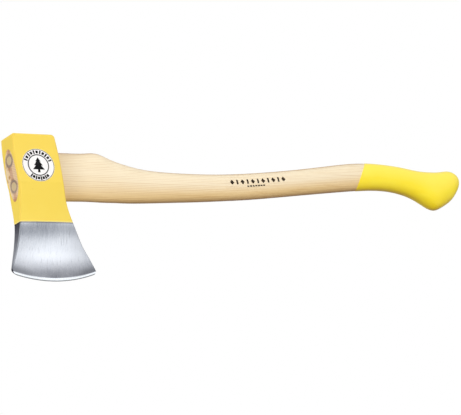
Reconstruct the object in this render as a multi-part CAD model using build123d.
from build123d import *
import os

# Long-handled felling axe: forged head, curved ash handle, wedges, coatings and label.
# Frame: origin on the eye's axis at the head's rear face, where the handle's neck leaves the head.
# +X runs along the handle to its knob, +Z to the poll, -Y to the cheek with the label. Millimetres.

# ---- driving dimensions -------------------------------------------------------------------------------
POLL_Z = 49.6               # height of the flat poll face
CHEEK_HALF = 14.7           # half thickness of the parallel cheeks round the eye
CHEEK_END_Z = -12.0         # the parallel cheeks end here and the taper to the edge begins
CORNER_R = 1.8              # rounding of the long edges round both cheeks
POLL_FRONT_R = 2.2          # rounding of the poll face's front and rear end
POLL_REAR_R = 5.0

POLL_FRONT_X = -62.4        # front is the side away from the handle
POLL_REAR_X = -4.4
EYE_FRONT_X = -63.6         # bulge of the front face beside the eye
EYE_REAR_X = -1.1
EYE_FACE_Z = 19.0
TAPER_FRONT_X = -61.8       # front and rear at CHEEK_END_Z
TAPER_REAR_X = 0.1

# bit, from the end of the parallel cheeks down to past the cutting edge:
# height, front x, rear x, half thickness in the middle, half thickness at the corners, corner rounding
BIT_STATIONS = (
    (-20.0, -61.7, 0.8, 13.8, 13.6, 1.8),
    (-40.0, -62.7, 3.1, 11.0, 10.6, 1.6),
    (-60.0, -64.2, 9.7, 8.9, 7.8, 1.4),
    (-75.0, -67.0, 14.8, 7.8, 6.6, 1.3),
    (-90.0, -71.0, 20.4, 6.5, 5.2, 1.2),
    (-106.0, -76.3, 29.4, 4.9, 3.4, 1.0),
    (-120.0, -81.0, 36.8, 3.1, 1.45, 0.6),
    (-128.0, -83.5, 40.9, 1.95, 0.45, 0.25),
    (-135.0, -85.9, 44.4, 0.9, 0.15, 0.08),
)
EDGE_CENTRE_X = -22.6       # centre of the cutting edge's arc
EDGE_LOW_Z = -132.5         # lowest point of the cutting edge
EDGE_R = 185.0
BEVEL_RISE = 0.48           # half thickness gained per millimetre away from the cutting edge
BEVEL_HUB_R = 20.0          # the bevel cones stop this far from their axis, well clear of the bit
GRIND_TOP_Z = -81.5         # all the grinding at the cutting edge lies below this height
TOE_R = 9.0                 # rounding of the front end of the edge
TOE_X = -80.2
HEEL_R = 3.5                # rounding of the rear end of the edge
HEEL_X = 35.8
SIDE_RISE = 0.25            # the rounding starts where the bit's side leans out this much per millimetre
SCRAP_REACH = 4.0           # size of a corner's scrap, in corner radii

TONGUE_FRONT = (-71.0, 0.0, 33.2, 12.3)     # the tongue runs straight through the eye, from this oval
NECK_STATION = 2            # to this one of the handle's stations

# handle, from inside the eye to the end of the knob: x, centre height, half height, half width
HANDLE_STATIONS = (
    (-39.0, -0.7, 31.6, 11.2),
    (-19.0, -0.5, 31.3, 11.4),
    (1.0, -0.2, 31.0, 11.6),
    (22.0, 0.2, 30.8, 11.9),
    (42.0, 0.5, 31.0, 12.2),
    (61.0, 0.4, 31.4, 12.4),
    (79.0, -3.0, 28.0, 12.4),
    (97.0, -5.9, 25.2, 12.3),
    (117.0, -8.0, 22.6, 12.2),
    (141.0, -9.0, 20.6, 12.1),
    (169.0, -9.0, 19.3, 12.0),
    (203.0, -8.4, 18.3, 11.8),
    (243.0, -6.8, 17.5, 11.6),
    (287.0, -3.9, 17.3, 11.6),
    (333.0, 0.4, 17.2, 11.6),
    (379.0, 5.3, 17.5, 11.7),
    (423.0, 10.3, 18.2, 11.9),
    (461.0, 14.1, 18.6, 12.2),
    (493.0, 15.3, 18.1, 12.4),
    (519.0, 13.9, 18.0, 12.6),
    (540.0, 10.9, 18.8, 13.0),
    (558.0, 6.4, 20.5, 13.7),
    (574.0, 1.2, 23.9, 14.5),
    (588.0, -1.8, 26.4, 15.1),
    (601.0, 0.2, 24.6, 15.2),
    (612.0, 3.6, 22.4, 14.7),
    (621.0, 7.2, 19.6, 13.6),
    (627.6, 9.9, 15.6, 11.7),
    (631.8, 11.4, 12.0, 9.6),
    (634.8, 12.4, 8.2, 7.0),
    (636.4, 12.9, 4.6, 4.2),
    (637.0, 13.1, 1.6, 1.5),
)
KNOB_TURN_X = 620.0         # past this the knob's surface faces forwards, so a skin grows along x too

KERF_DEPTH = 46.0           # saw kerf in the tongue, opened by the wedge
KERF_MOUTH = 6.4
KERF_ROOT = 1.6
WEDGE_GAP = 3.0             # the wedge stops this far short of the kerf's root

RING_OD = 16.6              # round steel wedges
RING_WALL = 2.8
RING_DEPTH = 24.0
RING_TIP_WALL = 0.8
RING_SPOTS = {"ring_wedge_upper": 18.6, "ring_wedge_lower": -14.0}

PAINT = 0.25                # lacquer on the head
PAINT_LINE_Z = -60.2
DIP = 0.4                   # dip coat on the knob
DIP_START_X = 462.0         # where the dip line crosses the axis plane at z = 0
DIP_LEAN_Z = 0.59           # the dip line moves along x with height
DIP_LEAN_Y = 0.50           # and with depth

LABEL_HALF_WIDTH = 22.3
LABEL_HALF_HEIGHT = 20.6
LABEL_THICKNESS = 0.15
LABEL_X = -32.6
LABEL_Z = 9.5

BEYOND = 200.0              # reach of the cutting tools past the part
OVERCUT = 6.0               # how far in front of the head a cutter starts


# ---- helpers ------------------------------------------------------------------------------------------
def box_between(low, high):
    """Axis-aligned box from its lowest to its highest corner."""
    size = [b - a for a, b in zip(low, high)]
    middle = [(a + b) / 2 for a, b in zip(low, high)]
    return Pos(*middle) * Box(*size)


def bit_section(z, front, rear, middle_half, corner_half, corner_r):
    """Level slice through the bit: slightly crowned cheeks, flat narrow faces, rounded corners."""
    middle = (front + rear) / 2
    flat = corner_half - corner_r
    tangent = corner_r * (1 - 0.5 ** 0.5)
    points = {}
    for side in (-1, 1):
        points[side] = [
            Vector(front, side * flat, z),
            Vector(front + tangent, side * (corner_half - tangent), z),
            Vector(front + corner_r, side * corner_half, z),
            Vector(middle, side * middle_half, z),
            Vector(rear - corner_r, side * corner_half, z),
            Vector(rear - tangent, side * (corner_half - tangent), z),
            Vector(rear, side * flat, z),
        ]
    edges = [Edge.make_line(points[-1][0], points[1][0]), Edge.make_line(points[-1][6], points[1][6])]
    for side in (-1, 1):
        row = points[side]
        edges += [Edge.make_three_point_arc(*row[i:i + 3]) for i in (0, 2, 4)]
    return Face(Wire.combine(edges)[0])


# ---- head ---------------------------------------------------------------------------------------------
def eye_block(grow):
    """Poll and parallel cheeks, with the planar bottom that the bit is lofted from."""
    top = POLL_Z + grow
    outline = Wire([
        Edge.make_line((POLL_FRONT_X - grow, 0, top), (POLL_REAR_X + grow, 0, top)),
        Edge.make_three_point_arc((POLL_REAR_X + grow, 0, top),
                                  (EYE_REAR_X + grow, 0, EYE_FACE_Z), (TAPER_REAR_X + grow, 0, CHEEK_END_Z)),
        Edge.make_line((TAPER_REAR_X + grow, 0, CHEEK_END_Z), (TAPER_FRONT_X - grow, 0, CHEEK_END_Z)),
        Edge.make_three_point_arc((TAPER_FRONT_X - grow, 0, CHEEK_END_Z),
                                  (EYE_FRONT_X - grow, 0, EYE_FACE_Z), (POLL_FRONT_X - grow, 0, top)),
    ])
    side = Face(outline)
    for end, radius in ((0, POLL_FRONT_R), (-1, POLL_REAR_R)):
        corner = side.vertices().group_by(Axis.Z)[-1].sort_by(Axis.X)[end]
        side = side.fillet_2d(radius + grow, [corner])
    block = extrude(side, amount=CHEEK_HALF + grow, dir=(0, 1, 0), both=True)
    cheeks = block.faces().sort_by(Axis.Y)
    rim = [edge for cheek in (cheeks[0], cheeks[-1]) for edge in cheek.edges()]
    return fillet([edge for edge in rim if edge.center().Z > CHEEK_END_Z + CORNER_R], CORNER_R + grow)


def bit(first_face, grow):
    """Tapering bit, lofted from the block's bottom face to past the cutting edge."""
    sections = [first_face]
    for z, front, rear, middle_half, corner_half, corner_r in BIT_STATIONS:
        sections.append(bit_section(z, front - grow, rear + grow, middle_half + grow,
                                    corner_half + grow, corner_r + grow))
    return loft(sections)


def edge_bevels():
    """Double cone that keeps the bit behind its two edge bevels."""
    centre_z = EDGE_LOW_Z + EDGE_R
    hub_half = BEVEL_RISE * (EDGE_R - BEVEL_HUB_R)
    corners = [(0, 0, 0), (EDGE_R, 0, 0), (BEVEL_HUB_R, hub_half, 0), (0, hub_half, 0)]
    half = Wire.make_polygon(corners, close=True)
    cone = revolve(Face(half), Axis.Y)
    both = cone + mirror(cone, about=Plane.XZ)
    return Pos(EDGE_CENTRE_X, 0, centre_z) * both


def corner_scrap(x, direction, radius):
    """What is ground away at one end of the cutting edge, to leave a rounded corner."""
    centre_z = EDGE_LOW_Z + EDGE_R
    inner_x = x - direction * radius
    reach = EDGE_R - radius
    drop = (reach ** 2 - (inner_x - EDGE_CENTRE_X) ** 2) ** 0.5
    hub = Vector(inner_x, 0, centre_z - drop)
    rim_dir = Vector(inner_x - EDGE_CENTRE_X, 0, -drop).normalized()
    side_dir = Vector(direction, 0, SIDE_RISE).normalized()
    middle_dir = (rim_dir + side_dir).normalized()
    start = hub + side_dir * radius
    end = hub + rim_dir * radius
    far = SCRAP_REACH * radius
    outline = Wire([
        Edge.make_three_point_arc(start, hub + middle_dir * radius, end),
        Edge.make_line(end, end + rim_dir * far),
        Edge.make_line(end + rim_dir * far, start + side_dir * far),
        Edge.make_line(start + side_dir * far, start),
    ])
    return extrude(Face(outline), amount=CHEEK_HALF, dir=(0, 1, 0), both=True)


def head_blank(grow=0.0):
    """The whole head before its eye is cut, grown outwards by the given amount."""
    block = eye_block(grow)
    bottom = block.faces().sort_by(Axis.Z)[0]
    return block + bit(bottom, grow)


def ground_bit(blank):
    """Grind the edge bevels and round the edge's two corners."""
    low = box_between((-BEYOND, -BEYOND, -BEYOND), (BEYOND, BEYOND, GRIND_TOP_Z))
    keep = edge_bevels()
    upper = blank - low
    lower = (blank & low) & keep
    lower = lower - corner_scrap(TOE_X, -1, TOE_R) - corner_scrap(HEEL_X, 1, HEEL_R)
    return upper + lower


# ---- handle -------------------------------------------------------------------------------------------
def oval(x, centre, half_height, half_width):
    """Upright oval slice through the handle."""
    at = Plane(origin=(x, 0, centre), x_dir=(0, 1, 0), z_dir=(1, 0, 0))
    return Face(Wire(Edge.make_ellipse(half_width, half_height, at)))


def grip(grow=0.0):
    """Curved handle outside the head; the loft starts inside the eye and is cut off at the neck."""
    sections = []
    for x, centre, half_height, half_width in HANDLE_STATIONS:
        end_x = x + grow if x > KNOB_TURN_X else x
        sections.append(oval(end_x, centre, half_height + grow, half_width + grow))
    body = loft(sections)
    neck_x = HANDLE_STATIONS[NECK_STATION][0]
    return body - box_between((-BEYOND, -BEYOND, -BEYOND), (neck_x, BEYOND, BEYOND))


def tongue():
    """Straight tapered plug that fills the eye and runs past the head's front face."""
    return loft([oval(*TONGUE_FRONT), oval(*HANDLE_STATIONS[NECK_STATION])], ruled=True)


def kerf(depth):
    """Tapered slot down the tongue's long axis; its sides keep one slope whatever the depth."""
    mouth_x = EYE_FRONT_X
    slope = (KERF_MOUTH - KERF_ROOT) / 2 / KERF_DEPTH
    front_x = mouth_x - OVERCUT
    front_half = KERF_MOUTH / 2 + slope * OVERCUT
    root_half = KERF_MOUTH / 2 - slope * depth
    outline = Wire.make_polygon([
        (front_x, -front_half, 0), (mouth_x + depth, -root_half, 0),
        (mouth_x + depth, root_half, 0), (front_x, front_half, 0),
    ], close=True)
    return extrude(Face(outline), amount=2 * POLL_Z, dir=(0, 0, 1), both=True)


def ring_wedge(z):
    """Hollow steel wedge: straight bore, outside tapering to a thin tip."""
    mouth_x = EYE_FRONT_X - OVERCUT
    tip_x = EYE_FRONT_X + RING_DEPTH
    outer = RING_OD / 2
    bore = outer - RING_WALL
    tip = bore + RING_TIP_WALL
    profile = Wire.make_polygon([
        (mouth_x, bore, 0), (tip_x, bore, 0), (tip_x, tip, 0),
        (EYE_FRONT_X, outer, 0), (mouth_x, outer, 0),
    ], close=True)
    return Pos(0, 0, z) * revolve(Face(profile), Axis.X)


def dip_side():
    """Half space on the knob's side of the slanted dip line."""
    normal = Vector(1, -DIP_LEAN_Y, -DIP_LEAN_Z)
    at = Plane(origin=(DIP_START_X, 0, 0), z_dir=normal)
    return at * Pos(0, 0, BEYOND) * Box(2 * BEYOND, 2 * BEYOND, 2 * BEYOND)


# ---- assembly -----------------------------------------------------------------------------------------
def build():
    blank = head_blank()
    body = tongue() + grip()
    front_block = box_between((-BEYOND, -CHEEK_HALF, -POLL_Z), (EYE_FRONT_X / 2, CHEEK_HALF, POLL_Z))
    front_scrap = front_block - blank
    wood = body - front_scrap
    rings = {name: ring_wedge(z) for name, z in RING_SPOTS.items()}

    parts = {}
    parts["head"] = ground_bit(blank) - body
    parts["handle"] = wood - kerf(KERF_DEPTH)
    parts["eye_wedge"] = wood & kerf(KERF_DEPTH - WEDGE_GAP)
    for name, ring in rings.items():
        parts["handle"] -= ring
        parts["eye_wedge"] -= ring
        parts[name] = ring - front_scrap

    below_line = box_between((-BEYOND, -BEYOND, -BEYOND), (BEYOND, BEYOND, PAINT_LINE_Z))
    parts["head_paint"] = head_blank(PAINT) - below_line - blank - body
    parts["knob_dip"] = (grip(DIP) & dip_side()) - body

    face_y = -(CHEEK_HALF + PAINT)
    cheek = Plane(origin=(LABEL_X, face_y, LABEL_Z), x_dir=(1, 0, 0), z_dir=(0, -1, 0))
    disc = cheek * Ellipse(LABEL_HALF_WIDTH, LABEL_HALF_HEIGHT)
    parts["label"] = extrude(disc, amount=LABEL_THICKNESS)
    return parts


os.makedirs("parts", exist_ok=True)
for node, shape in build().items():
    shape.label = node
    print(node, len(shape.solids()), round(shape.volume), shape.is_valid)
    export_step(shape, f"parts/{node}.step")
